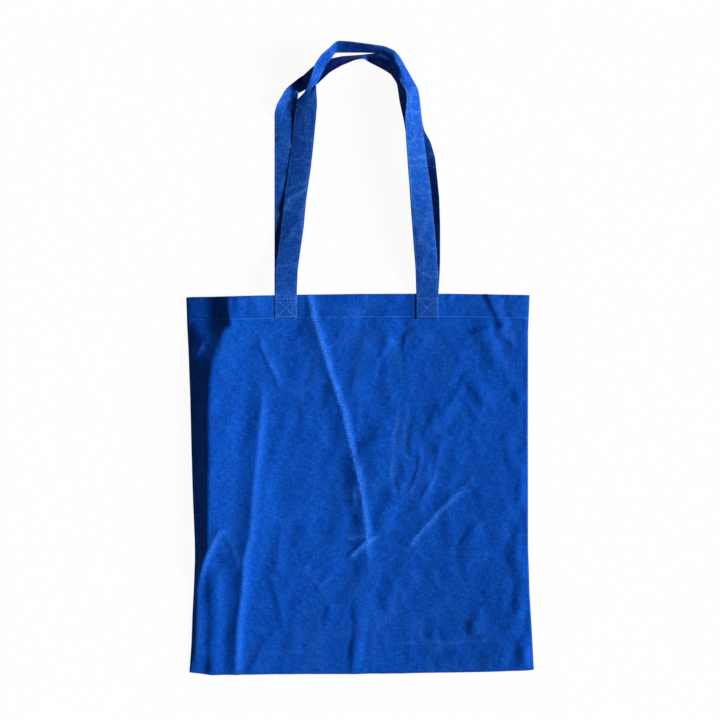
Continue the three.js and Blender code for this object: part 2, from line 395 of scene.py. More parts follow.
def cotton(name, dark, light, wear_and_highlight, glance, crinkle):
    material, tree, shader = new_material(name)
    shader.inputs["Roughness"].default_value = 0.55
    shader.inputs["Specular Tint"].default_value = glance
    shader.inputs["Specular IOR Level"].default_value = PLAIN_SHINE
    cloth = tree.add("ShaderNodeUVMap", uv_map="cloth").outputs[0]
    rub_and_highlight = tree.add("ShaderNodeAttribute", attribute_name="rub_and_highlight").outputs["Fac"]
    yarn = tree.group(uneven_yarn, {"Cloth": cloth})
    weave = tree.group(plain_weave, {"Cloth": cloth})
    wrinkles = tree.group(fine_wrinkles, {"Cloth": cloth})
    tone = tree.blend(yarn["Shade"], dark, light)
    flecked = tree.blend(tree.times(yarn["Specks"], SPECK_SHARE), tone, wear_and_highlight)
    rubbed_and_highlighted = tree.group(
        rubbed_and_highlighted_creases,
        {"Cloth": cloth, "Colour": flecked, "Worn and highlight colour": wear_and_highlight, "Rub and highlight": rub_and_highlight, "Amount": WEAR_AND_HIGHLIGHT},
    )
    tree.give(shader.inputs["Base Color"], rubbed_and_highlighted["Colour"])
    threads = tree.plus(tree.times(yarn["Height"], YARN_RELIEF), tree.times(weave["Height"], WEAVE_RELIEF))
    relief = tree.plus(tree.times(wrinkles["Height"], crinkle), threads)
    bump = tree.add("ShaderNodeBump", {"Height": relief, "Distance": 1.0, "Strength": 1.0})
    tree.give(shader.inputs["Normal"], bump.outputs[0])
    turned_away = tree.add("ShaderNodeLayerWeight").outputs["Facing"]
    tree.give(shader.inputs["Specular IOR Level"], tree.ramp(turned_away, *SHINE_FACING, *SHINE))
    return material


# each: darker yarn, paler yarn, and the pale colour of rubbed creases, also painted as highlight on their
# lit side
BODY_BLUES = (colour(0, 60, 164), colour(18, 94, 202), colour(84, 150, 236))
BODY_GLANCE = (0.12, 0.8, 1.0, 1.0)
BODY_CRINKLE = 0.9 * MM
HANDLE_BLUES = (colour(6, 56, 150), colour(38, 104, 198), colour(100, 158, 228))
HANDLE_GLANCE = (0.2, 0.85, 1.0, 1.0)
HANDLE_CRINKLE = 0.6 * MM

body_cotton = cotton("body cotton", *BODY_BLUES, BODY_GLANCE, BODY_CRINKLE)
front_handle_cotton = cotton("front handle cotton", *HANDLE_BLUES, HANDLE_GLANCE, HANDLE_CRINKLE)
back_handle_cotton = cotton("back handle cotton", *HANDLE_BLUES, HANDLE_GLANCE, HANDLE_CRINKLE)
print("mixed", body_cotton.name, front_handle_cotton.name, back_handle_cotton.name)

# %% [markdown]
# ### Thread
# The sewing thread is the same blue, but it is smooth and twisted, so it catches more light than the
# cloth round it. That light is partly painted: both of the thread's blues are paler than the cloth, as a
# painted highlight, besides a little sheen. Its twist is a fine band pattern that runs slanting round each
# stitch. It is a bump, and also a blend from the darker to the paler blue, which paints shade and highlight
# on the twist.

# %% Mix the thread
# both blues are paler than the cloth as a painted highlight, and the darker one is the painted shade in the
# twist
THREAD_LIT_BLUES = (colour(42, 104, 204), colour(84, 146, 228))
TWIST_PER_METRE = 900.0
TWIST_RELIEF = 0.05 * MM


def thread_material():
    material, tree, shader = new_material("sewing thread")
    shader.inputs["Roughness"].default_value = 0.6
    shader.inputs["Sheen Weight"].default_value = 0.15
    place = tree.add("ShaderNodeTexCoord").outputs["Object"]
    bands = {"Vector": place, "Scale": TWIST_PER_METRE, "Distortion": 1.0}
    twist = tree.add("ShaderNodeTexWave", bands, bands_direction="DIAGONAL").outputs["Fac"]
    # painted shade and highlight along the twist
    tree.give(shader.inputs["Base Color"], tree.blend(twist, *THREAD_LIT_BLUES))
    bump = tree.add("ShaderNodeBump", {"Height": twist, "Distance": TWIST_RELIEF})
    tree.give(shader.inputs["Normal"], bump.outputs[0])
    return material


thread = thread_material()
print("mixed", thread.name)

# %% [markdown]
# ## Folds
# A bag like this is pressed flat, packed, shaken out and laid down, and each of these leaves its mark.
# A simulation would give folds, but not these folds, so they are listed one by one. A fold is a line on
# the cloth with a height, and with two widths: on the side that faces the lamp, and on the other side, in
# shade. Lines are drawn from the mouth downwards, or on a handle from the mouth outwards, and then lit is
# the side towards +X. A sharp fold is a crease like a tent's ridge, and a soft one is a roll. Places are
# millimetres: across from the bag's middle line, and down from the mouth.

# %% Smooth noise and the shape of one fold
GRID = 64
TURN_COSINE = 0.83
TURN_SINE = 0.56
CELL_SHIFT = 0.42
BORDER_WIDTH = 0.35
FAR = 9.0


def fade(value):
    """A smooth step: 0 up to 0, 1 from 1 on, and a gentle S between."""
    value = np.clip(value, 0, 1)
    return value * value * (3 - 2 * value)


def soft_noise(x, y, cell, seed):
    """Gentle bumps between -1 and 1, about one to each cell. The grid is turned, so that it doesn't show."""
    values = np.random.default_rng(seed).uniform(-1, 1, (GRID, GRID))
    turned_x = (TURN_COSINE * x + TURN_SINE * y) / cell
    turned_y = (-TURN_SINE * x + TURN_COSINE * y) / cell
    column = np.floor(turned_x).astype(int)
    row = np.floor(turned_y).astype(int)
    across = fade(turned_x - column)
    up = fade(turned_y - row)

    def corner(right, above):
        return values[(column + right) % GRID, (row + above) % GRID]

    low = corner(0, 0) * (1 - across) + corner(1, 0) * across
    high = corner(0, 1) * (1 - across) + corner(1, 1) * across
    return low * (1 - up) + high * up


def crumple(x, y, cell, seed):
    """Random creases: the borders between cells of uneven shape, 1 on a border and 0 inside a cell."""
    shifts = np.random.default_rng(seed).uniform(-CELL_SHIFT, CELL_SHIFT, (2, GRID, GRID))
    column = np.floor(x / cell).astype(int)
    row = np.floor(y / cell).astype(int)
    nearest = np.full(np.shape(x), FAR)
    second = nearest.copy()
    for right in (-1, 0, 1):
        for above in (-1, 0, 1):
            i = (column + right) % GRID
            j = (row + above) % GRID
            dx = column + right + 0.5 + shifts[0, i, j] - x / cell
            dy = row + above + 0.5 + shifts[1, i, j] - y / cell
            distance = np.hypot(dx, dy)
            second = np.minimum(second, np.maximum(nearest, distance))
            nearest = np.minimum(nearest, distance)
    return np.clip(1 - (second - nearest) / BORDER_WIDTH, 0, 1) ** 2


def beside(x, down, path):
    """For each point: the distance to a path, its side and how far along. Last, the path's length."""
    best = np.full(np.shape(x), FAR)
    side = np.zeros(np.shape(x))
    along = np.zeros(np.shape(x))
    corners = np.array(path, float) * MM
    steps = np.hypot(*np.diff(corners, axis=0).T)
    start = 0.0
    for (ax, ad), (bx, bd), length in zip(corners[:-1], corners[1:], steps):
        share = np.clip(((x - ax) * (bx - ax) + (down - ad) * (bd - ad)) / length**2, 0, 1)
        distance = np.hypot(x - ax - share * (bx - ax), down - ad - share * (bd - ad))
        left_hand = (bd - ad) * (x - ax) - (bx - ax) * (down - ad)
        closer = distance < best
        best = np.where(closer, distance, best)
        side = np.where(closer, np.sign(left_hand), side)
        along = np.where(closer, start + share * length, along)
        start += length
    return best, side, along, start


# rub is how pale a fold's line is: wear along the crease, and a wider painted highlight on its lit side
def fold(height, lit, shade, path, ends, soft=False, rub_and_highlight=0.0):
    """One fold's facts, in millimetres. ends are how far it takes to rise and to die away."""
    return dict(height=height, lit=lit, shade=shade, path=path, ends=ends, soft=soft, rub_and_highlight=rub_and_highlight)


FOLD_ROUNDING = 0.7 * MM
CREASE_POWER = 1.4
# how far the pale line reaches: on the lamp's side, where it is a painted highlight, and on the shade side
RUB_AND_HIGHLIGHT_LIT = 3.2 * MM
RUB_SHADE = 1.0 * MM


def fold_height(x, down, facts):
    distance, side, along, length = beside(x, down, facts["path"])
    width = np.where(side > 0, facts["lit"], facts["shade"]) * MM
    rounded = np.sqrt(distance**2 + FOLD_ROUNDING**2) - FOLD_ROUNDING
    near = np.clip(1 - rounded / width, 0, 1)
    profile = fade(near) if facts["soft"] else near**CREASE_POWER
    rise_over, die_over = facts["ends"]
    ends = fade(along / (rise_over * MM)) * fade((length - along) / (die_over * MM))
    # the pale line: wear at the crease, widened on the side that faces the lamp as a painted highlight
    rub_and_highlight_width = np.where(side > 0, RUB_AND_HIGHLIGHT_LIT, RUB_SHADE)
    wear_and_highlight = np.exp(-((distance / rub_and_highlight_width) ** 2)) * facts["rub_and_highlight"] * ends
    return facts["height"] * MM * profile * ends, wear_and_highlight


print("folds have", FOLD_ROUNDING / MM, "mm rounding at the crest")

# %% The folds of the front panel
FRONT_FOLDS = [
    # the long crease from the mouth, and the star of small ones at its lower end
    fold(3.4, 7, 19,
         [(-60, -12), (-52, 25), (-34.5, 84), (-20.5, 125), (-9.5, 173), (1, 218), (7, 262), (10, 329)],
         ends=(8, 80), rub_and_highlight=0.8),
    fold(1.0, 3, 4, [(-15, 271), (-3, 270), (10, 269)], ends=(4, 5), rub_and_highlight=0.8),
    fold(1.8, 4, 6, [(24, 265), (7, 274), (-13, 292)], ends=(12, 4), rub_and_highlight=0.8),
    fold(-1.7, 14, 14, [(-4, 296), (-24, 318), (-42, 339), (-50, 362), (-54, 392)],
         ends=(14, 20), soft=True),
    fold(2.0, 14, 9, [(-2, 330), (-4, 370), (-6, 430)], ends=(22, 8), soft=True),
    # the long soft crease on the left
    fold(2.8, 8, 19,
         [(-107, 88), (-109, 117), (-113, 167), (-119, 220), (-122, 264), (-129, 294), (-131, 327),
          (-136, 369), (-138, 430)],
         ends=(40, 12), rub_and_highlight=0.3),
    fold(1.4, 13, 12, [(-124, 270), (-129, 294), (-131, 327), (-136, 369), (-138, 430)], ends=(24, 8)),
    fold(1.3, 5, 4, [(-112, 45), (-107, 62), (-99, 80), (-88, 102)], ends=(10, 14), rub_and_highlight=0.4),
    # the corner at the upper left
    fold(-3.6, 17, 22, [(-166, -14), (-164, 20), (-171, 48)], ends=(8, 22), soft=True),
    fold(1.8, 5, 5, [(-148, -14), (-146, 18), (-141, 40)], ends=(8, 12)),
    fold(2.4, 5, 9, [(-172, 50), (-180, 60), (-190, 78)], ends=(10, 6)),
    fold(2.2, 15, 14, [(-118, -14), (-114, 14), (-108, 34)], ends=(8, 16), soft=True),
    fold(-1.2, 10, 10, [(-112, 36), (-92, 34), (-62, 38)], ends=(8, 8), soft=True),
    # the corner at the upper right
    fold(2.6, 22, 6, [(138, -14), (142, 2), (153, 24), (162, 42)], ends=(6, 10)),
    fold(1.3, 12, 5, [(148, 38), (164, 50), (187, 72)], ends=(6, 8)),
    fold(1.8, 24, 5, [(150, 38), (134, 41), (118, 46), (111, 62), (108, 84)], ends=(8, 14)),
    fold(2.0, 16, 11, [(112, 82), (126, 98), (142, 128)], ends=(10, 14), soft=True),
    fold(1.5, 15, 14, [(138, 54), (158, 84), (184, 124)], ends=(12, 14), soft=True),
    fold(1.6, 14, 12, [(160, 150), (168, 176), (166, 200)], ends=(14, 14), soft=True),
    # round the right handle's end
    fold(-1.6, 9, 9, [(56, 30), (47, 50), (36, 74)], ends=(8, 14)),
    fold(1.9, 7, 8, [(54, 34), (50, 52), (47, 68)], ends=(10, 12)),
    fold(1.4, 7, 8, [(34, 38), (28, 60), (24, 78)], ends=(14, 14)),
    fold(1.6, 14, 7, [(92, -12), (94, 12), (104, 30)], ends=(8, 12), soft=True),
    # the fan of fine creases right of the middle
    fold(-0.9, 3.5, 3.5, [(43, 126), (40, 150), (34, 196), (42, 228)], ends=(12, 8), rub_and_highlight=0.5),
    fold(-0.8, 3, 3.5, [(53, 120), (51, 150), (51, 188)], ends=(12, 12), rub_and_highlight=0.4),
    fold(1.0, 3.5, 5, [(67, 168), (66, 190), (62, 206), (53, 224)], ends=(12, 6), rub_and_highlight=0.4),
    fold(0.9, 3.5, 4, [(86, 196), (76, 216), (66, 232)], ends=(8, 8), rub_and_highlight=0.3),
    fold(1.4, 13, 9, [(94, 114), (80, 142), (68, 172)], ends=(14, 16), soft=True),
    fold(2.2, 5.5, 14, [(136, 190), (112, 218), (88, 241), (61, 271), (52, 284)], ends=(60, 10), rub_and_highlight=0.6),
    # the lower left corner
    fold(1.9, 6, 9, [(-154, 256), (-171, 290), (-182, 320), (-183, 370), (-186, 430)],
         ends=(8, 40), rub_and_highlight=0.6),
    fold(0.8, 6, 7, [(-155, 256), (-144, 274), (-134, 307)], ends=(6, 12), rub_and_highlight=0.3),
    fold(0.45, 6, 6, [(-158, 268), (-149, 290), (-137, 308)], ends=(8, 8)),
    fold(2.0, 13, 10, [(-164, 290), (-162, 330), (-162, 380), (-164, 430)], ends=(24, 8), soft=True),
    # pressed lines that cross the panel, and the seam allowances that show through
    fold(0.6, 3, 3, [(13, 281), (30, 277), (52, 284.5), (88, 287), (124, 291), (170, 290)],
         ends=(10, 40), rub_and_highlight=0.15),
    fold(0.6, 2.5, 2.5, [(-160, 406), (-138, 399), (-102, 398), (-52, 395)], ends=(10, 20), rub_and_highlight=0.15),
    fold(0.5, 3, 3, [(33, 387), (95, 388), (156, 386)], ends=(20, 20), rub_and_highlight=0.3),
    fold(0.5, 7, 6, [(173, 215), (174, 290), (176, 372)], ends=(30, 30), soft=True),
]

BACK_FOLDS = [
    fold(1.3, 10, 12, [(40, -10), (28, 60), (36, 150), (20, 250)], ends=(10, 60), soft=True),
    fold(1.1, 9, 9, [(-120, 90), (-60, 150), (-20, 170)], ends=(30, 30)),
    fold(1.2, 12, 12, [(120, 120), (96, 220), (104, 330)], ends=(40, 40), soft=True),
    fold(0.8, 6, 6, [(-150, 280), (-60, 284), (60, 281), (150, 285)], ends=(30, 30), rub_and_highlight=0.3),
]
print(len(FRONT_FOLDS), "folds on the front,", len(BACK_FOLDS), "on the back")

# %% [markdown]
# ## The lie of the bag
# Its outline is measured first: two sides that draw in a little where the cloth stands up, a mouth and a
# bottom that are not quite straight. One big fold near the left side holds the front panel up. To its
# left the cloth drops steeply to the seam and lies in deep shadow. To its right the panel slopes gently
# down to the other seam.

# %% The outline and the big fold
CLOTH = 0.45 * MM
GAP = 0.35 * MM
CLEARANCE = 0.05 * MM
SEAM_LEVEL = 1.2 * MM
HEM = 25 * MM

LEFT_SIDE = [(0, -193), (31, -192), (59, -190.5), (113, -188.5), (175, -187), (226, -185.5), (272, -183.5),
             (295, -183.3), (324, -184.4), (355, -186), (388, -187.2), (420, -189.5)]
RIGHT_SIDE = [(0, 188.4), (41, 186.8), (150, 186.6), (283, 186.7), (335, 188.3), (368, 190.3), (420, 193)]
MOUTH_LINE = [(-193, -2.8), (-133, -1.5), (-67, 0), (2, 0.9), (60, 1.1), (105, 1), (133, 0.6), (188, -0.4)]
BOTTOM_LINE = [(-190, 1.6), (-166, -0.9), (-123, -0.7), (-22, -0.3), (46, 0.4), (133, 2.2), (193, 4.6)]
BIG_FOLD_X = [(0, -131), (28, -139), (39, -152), (68, -163), (94, -168), (262, -169.5), (285, -171),
              (300, -176), (322, -182), (420, -186)]
BIG_FOLD_Z = [(0, 17), (245, 16.5), (285, 12), (322, 5), (380, 3.5), (420, 2)]


def along_stops(value, stops):
    places = np.array(stops, float) * MM
    return np.interp(value, places[:, 0], places[:, 1])


def lower_of(first, second, rounding):
    """The lower of two heights, with the corner between them rounded."""
    smaller = np.minimum(first, second)
    return smaller - rounding * np.log1p(np.exp(-np.abs(first - second) / rounding))


CREST_ROUNDING = 1.2 * MM
FALL_POWER = 4.2
EDGE_LEVEL = SEAM_LEVEL + GAP


def lie_of_front(x, down):
    left = along_stops(down, LEFT_SIDE)
    right = along_stops(down, RIGHT_SIDE)
    crest_x = along_stops(down, BIG_FOLD_X)
    crest = along_stops(down, BIG_FOLD_Z) - EDGE_LEVEL
    rise = crest * np.maximum(x - left, 0) / (crest_x - left)
    fall = crest * np.clip((right - x) / (right - crest_x), 0, 2) ** FALL_POWER
    return EDGE_LEVEL + np.maximum(lower_of(rise, fall, CREST_ROUNDING), 0)


print("the big fold stands", BIG_FOLD_Z[0][1], "mm high")

# %% [markdown]
# ## Handle places
# The handles' ends are needed before the panels, because the cloth under a sewn end is stiff and flat.
# Each band is 25 mm wide and is sewn down over the hem.

# %% Where the handles are sewn
BAND_WIDTH = 25 * MM
BAND = 1.0 * MM
TAIL = 27 * MM
TAIL_MIDDLES = (-82.5 * MM, 74.8 * MM)


def under_tail(x, down, margin):
    """1 under a handle's sewn end and 0 away from it, with margin as the width of the step between."""
    share = np.zeros(np.shape(x))
    for middle in TAIL_MIDDLES:
        sideways = (np.abs(x - middle) - BAND_WIDTH / 2) / margin
        downwards = (down - TAIL) / margin
        share = np.maximum(share, 1 - fade(np.maximum(np.maximum(sideways, downwards), 0)))
    return share


print("handle ends are", round((TAIL_MIDDLES[1] - TAIL_MIDDLES[0]) / MM), "mm apart")

# %% [markdown]
# ## The heights of the panels
# Between its folds, cloth is never quite flat. Soft waves, slanting streaks and two nets of small creases
# lie over both panels. They come from seeded noise, so each run gives the same bag. Near a seam, the
# bottom or a handle's sewn end the cloth is held flat, and there this relief dies away. Each panel has
# one function that gives its height at any place. The cloth's mesh, the front handle's sewn ends and the
# stitches of the hem all ask it, so none of them floats above the cloth or sinks into it.

# %% The small relief of a panel
# each wave: height and size in millimetres, and a seed of its own
WAVES = [(1.2, 75, 0), (0.8, 26, 1), (0.2, 12, 7)]
# each layer of streaks: height, size, lean to the left for each step down, stretch, seed
STREAKS_ALL_OVER = (1.1, 15, 0.35, 3.2, 8)
STREAKS_ON_THE_RIGHT = (0.8, 13, -0.5, 2.6, 9)
RIGHT_STARTS = -36 * MM
RIGHT_COMES_IN = 90 * MM
# each net: height, size of its cells and of its patches, how much more than half is covered, seed
NETS = [(1.0, 52, 60, 0.35, 2), (0.4, 21, 40, 0.2, 4)]
NET_SHIFT = 10 * MM
NET_RUB = 0.25
RUB_PATCH = 60 * MM


def streaks(x, down, height, cell, lean, stretch, step, seed):
    """Noise drawn out in slanting streaks."""
    return height * MM * soft_noise(x + lean * down, (down - lean * x) / stretch, cell * MM, seed + step)


def panel_relief(x, down, folds, seed):
    """The folds, soft waves, streaks and two nets of small creases, with the wear and painted highlight on
    them.
    """
    height = np.zeros(np.shape(x))
    rub_and_highlight = np.zeros(np.shape(x))
    for facts in folds:
        rise, wear_and_highlight = fold_height(x, down, facts)
        height += rise
        rub_and_highlight = np.maximum(rub_and_highlight, wear_and_highlight)
    for wave, cell, step in WAVES:
        height += wave * MM * soft_noise(x, down, cell * MM, seed + step)
    height += streaks(x, down, *STREAKS_ALL_OVER, seed)
    on_the_right = fade((x - RIGHT_STARTS) / RIGHT_COMES_IN)
    height += streaks(x, down, *STREAKS_ON_THE_RIGHT, seed) * on_the_right
    nets = []
    for number, (crease, cell, patch, more, step) in enumerate(NETS):
        nets.append(crumple(x + number * NET_SHIFT, down, cell * MM, seed + step))
        here = np.clip(soft_noise(x, down, patch * MM, seed + step + 1) + more, 0, 1)
        height += crease * MM * nets[number] * here
    worn_net = NET_RUB * nets[0] * np.clip(soft_noise(x, down, RUB_PATCH, seed + 6), 0, 1)
    return height, np.maximum(rub_and_highlight, worn_net)


print(len(WAVES), "sizes of wave,", len(NETS), "nets of creases")

# %% The heights of both panels
# the back panel: how wide its flat borders are, and how much of its relief is left between them
BACK_EDGE = 14 * MM
BACK_BOTTOM = 12 * MM
BACK_SHARE = 0.45
BACK_LIFT = 0.6 * MM
BACK_SEAM = 5 * MM
# the front panel: its flat borders, and what the handles' sewn ends and the hem do to it
FRONT_EDGE = 9 * MM
FRONT_SEAM = 8 * MM
BOTTOM_FOLD = 3 * MM
TAIL_EDGE = 16 * MM
TAIL_STIFFNESS = 0.9
TAIL_STEP = 2.5 * MM
PULLED_IN = 0.5 * MM
HEM_EDGE = 10 * MM
HEM_STIFFNESS = 0.15
HEM_ROOM = 1.1 * MM
HEM_STEP = 4 * MM
GROOVE = 0.3 * MM
GROOVE_WIDTH = 1.2 * MM
# the curled corner: across and down, where it starts and how far it takes to rise
CORNER_LIFT = 8 * MM
CORNER_START = (40 * MM, 170 * MM)
CORNER_REACH = (150 * MM, 230 * MM)


def seam_distance(x, down):
    return np.minimum(x - along_stops(down, LEFT_SIDE), along_stops(down, RIGHT_SIDE) - x)


def corner_lift(x, down):
    """The lower right corner curls up a little, both panels together."""
    across = fade((x - CORNER_START[0]) / CORNER_REACH[0])
    return CORNER_LIFT * across * fade((down - CORNER_START[1]) / CORNER_REACH[1])


def hem_groove(down):
    return GROOVE * np.exp(-(((down - HEM) / GROOVE_WIDTH) ** 2))


def back_level(x, down):
    """The back panel lies on the floor and over the back handle's ends, so its relief only rises."""
    relief, rub_and_highlight = panel_relief(x, down, BACK_FOLDS, 40)
    seam = seam_distance(x, down)
    tail = under_tail(x, down, BACK_EDGE)
    calm = fade(seam / BACK_EDGE) * fade((BAG_HEIGHT - down) / BACK_BOTTOM) * (1 - tail)
    rise = BACK_SHARE * np.maximum(relief + BACK_LIFT, 0) * calm + (BAND + GAP) * tail
    to_seam = (SEAM_LEVEL - GAP - CLOTH) * (1 - fade(seam / BACK_SEAM))
    return CLOTH / 2 + CLEARANCE + np.maximum(rise, to_seam) + corner_lift(x, down), rub_and_highlight


def front_level(x, down):
    """The front panel has the full relief, but never sinks into the back panel or the hem below it."""
    relief, rub_and_highlight = panel_relief(x, down, FRONT_FOLDS, 7)
    seam = seam_distance(x, down)
    calm = fade(seam / FRONT_EDGE) * fade((BAG_HEIGHT - down + BOTTOM_FOLD) / FRONT_EDGE)
    stiff = 1 - TAIL_STIFFNESS * under_tail(x, down, TAIL_EDGE)
    hem = 1 - HEM_STIFFNESS * (1 - fade((down - HEM) / HEM_EDGE))
    level = lie_of_front(x, down) + corner_lift(x, down) + relief * calm * stiff * hem - hem_groove(down)
    level -= PULLED_IN * under_tail(x, down, TAIL_STEP)
    lowest = back_level(x, down)[0] + 2 * CLOTH + HEM_ROOM * (1 - fade((down - HEM) / HEM_STEP))
    inside = fade(seam / FRONT_SEAM)
    return np.maximum(level, lowest * inside + level * (1 - inside)), rub_and_highlight


sample = front_level(np.array([0.0, -0.15]), np.array([0.1, 0.1]))[0]
print("front panel stands", (sample / MM).round(1), "mm high at two places")

# %% [markdown]
# ## The bag's cloth
# A plain tote is one length of cloth, folded once at the bottom, with its sides sewn up and a hem turned
# to the inside round the mouth. The mesh follows that: it is one strip of rows that starts at the hem
# inside the back, turns over the mouth, runs down the back, round the bottom fold, up the front, and
# over the mouth again into the front hem. The strip gets its thickness at the end, as a closed slab,
# so its faces point outwards everywhere. Its UV map is the flat cloth in metres.

# %% Build a closed slab from a grid of points
def grid_faces(rows, columns, start, flip):
    first = start + np.arange(rows - 1)[:, None] * columns + np.arange(columns - 1)[None, :]
    corners = [first, first + 1, first + columns + 1, first + columns]
    if flip:
        corners.reverse()
    return np.stack([corner.ravel() for corner in corners], axis=1)


def rim_faces(rows, columns):
    """Joins the outer and the inner grid all round their border."""
    index = np.arange(rows * columns).reshape(rows, columns)
    border = np.concatenate([index[0, :-1], index[:-1, -1], index[-1, :0:-1], index[:0:-1, 0]])
    following = np.roll(border, -1)
    inner = rows * columns
    return np.stack([border, border + inner, following + inner, following], axis=1)


def slab(name, middle, half, flat, rub_and_highlight, material):
    """A cloth mesh. middle is a grid of points, half its half thickness, flat its UV in metres."""
    rows, columns = middle.shape[:2]
    along = np.gradient(middle, axis=0)
    across = np.gradient(middle, axis=1)
    square = np.cross(across, along)
    square /= np.linalg.norm(square, axis=2, keepdims=True)
    outer = middle + square * half
    inner = middle - square * half
    outer[..., 2] = np.maximum(outer[..., 2], 0)
    inner[..., 2] = np.maximum(inner[..., 2], 0)
    points = np.concatenate([outer.reshape(-1, 3), inner.reshape(-1, 3)])
    faces = np.concatenate([
        grid_faces(rows, columns, 0, False),
        grid_faces(rows, columns, rows * columns, True),
        rim_faces(rows, columns),
    ])
    mesh = bpy.data.meshes.new(name)
    mesh.from_pydata(points.tolist(), [], faces.tolist())
    mesh.polygons.foreach_set("use_smooth", np.ones(len(faces), bool))
    corner_points = np.empty(len(mesh.loops), np.int32)
    mesh.loops.foreach_get("vertex_index", corner_points)
    both = np.concatenate([flat.reshape(-1, 2), flat.reshape(-1, 2)])
    mesh.uv_layers.new(name="cloth").data.foreach_set("uv", both[corner_points].ravel().astype(np.float32))
    wear_and_highlight = mesh.attributes.new("rub_and_highlight", "FLOAT", "POINT")
    wear_and_highlight.data.foreach_set("value", np.concatenate([rub_and_highlight.ravel(), rub_and_highlight.ravel()]).astype(np.float32))
    mesh.materials.append(material)
    mesh.update()
    piece = bpy.data.objects.new(name, mesh)
    bpy.context.scene.collection.objects.link(piece)
    return piece, outer, inner


print("slab builder ready")

# %% Lay out the strip of cloth
COLUMNS = 172
FRONT_ROWS = 196
BACK_ROWS = 40
HEM_ROWS = 6
HEM_TOP = 0.6 * MM
TURN_ROWS = 5
HEM_LAYER = 2 * CLOTH
HEM_INSET = 2 * MM
EDGE_RUB = 0.35
CUT_WIDTH = 380 * MM


def panel_rows(level, downs, inset, shift):
    """Rows of points at the given distances down, shifted from a panel's own level, and their wear and
    painted highlight.
    """
    down = np.repeat(downs[:, None], COLUMNS + 1, axis=1)
    share = np.repeat(np.linspace(0, 1, COLUMNS + 1)[None, :], len(downs), axis=0)
    left = along_stops(down, LEFT_SIDE) + inset
    right = along_stops(down, RIGHT_SIDE) - inset
    x = left + (right - left) * share
    z, rub_and_highlight = level(x, down)
    below = down / BAG_HEIGHT
    y = MOUTH_Y - down + along_stops(x, MOUTH_LINE) * (1 - below) + along_stops(x, BOTTOM_LINE) * below
    return np.stack([x, y, z + shift], axis=2), rub_and_highlight


def turn_rows(first, last, outward):
    """Rows that carry the cloth round from one level to another in a half circle."""
    rows = []
    for angle in np.linspace(0, math.pi, TURN_ROWS + 2)[1:-1]:
        share = (1 - math.cos(angle)) / 2
        row = first * (1 - share) + last * share
        row[:, 1] += outward * math.sin(angle) * np.abs(last[:, 2] - first[:, 2]) / 2
        rows.append(row)
    return np.stack(rows)


def bag_cloth():
    hem_downs = np.linspace(HEM, HEM_TOP, HEM_ROWS)
    back_hem, rub_and_highlight_1 = panel_rows(back_level, hem_downs, HEM_INSET, HEM_LAYER)
    back, rub_and_highlight_2 = panel_rows(back_level, np.linspace(0, BAG_HEIGHT, BACK_ROWS), 0, 0)
    front, rub_and_highlight_3 = panel_rows(front_level, np.linspace(BAG_HEIGHT, 0, FRONT_ROWS), 0, 0)
    front_hem, rub_and_highlight_4 = panel_rows(front_level, hem_downs[::-1], HEM_INSET, -HEM_LAYER)
    turns = [
        turn_rows(back_hem[-1], back[0], 1),
        turn_rows(back[-1], front[0], -1),
        turn_rows(front[-1], front_hem[0], 1),
    ]
    middle = np.concatenate([back_hem, turns[0], back, turns[1], front, turns[2], front_hem])
    edge_rub = np.full((TURN_ROWS, COLUMNS + 1), EDGE_RUB)
    rub_and_highlight = np.concatenate([rub_and_highlight_1, edge_rub, rub_and_highlight_2, edge_rub, rub_and_highlight_3, edge_rub, rub_and_highlight_4])
    steps = np.linalg.norm(np.diff(middle[:, COLUMNS // 2], axis=0), axis=1)
    length = np.concatenate([[0], np.cumsum(steps)])
    across = np.linspace(0, CUT_WIDTH, COLUMNS + 1)
    flat = np.stack(np.broadcast_arrays(across[None, :], length[:, None]), axis=2)
    print("strip length", round(length[-1], 3), "m in", len(middle), "rows")
    return slab("bag_cloth", middle, CLOTH / 2, flat, rub_and_highlight, body_cotton)


bag = bag_cloth()[0]
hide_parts("bag_body")
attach(bag, "root")
print(bag.name, len(bag.data.polygons), "faces")

# %% [markdown]
# ## The handles
# Each handle is a strip folded to a flat band and stitched along both edges. A flat band can't turn a
# corner in its own plane, so on a table it rises on edge at the top of its arch, and creases where it
# twists. Its way round is a list of stops, each with the places of both edges: outer x, outer distance
# past the mouth, inner x, inner distance. The next two values are how much higher the outer edge is than
# the inner one, and the height of the lower of the two. The last is how far the band's middle bows up
# from the straight line between its edges. Straight facets between stops look like folded cloth.

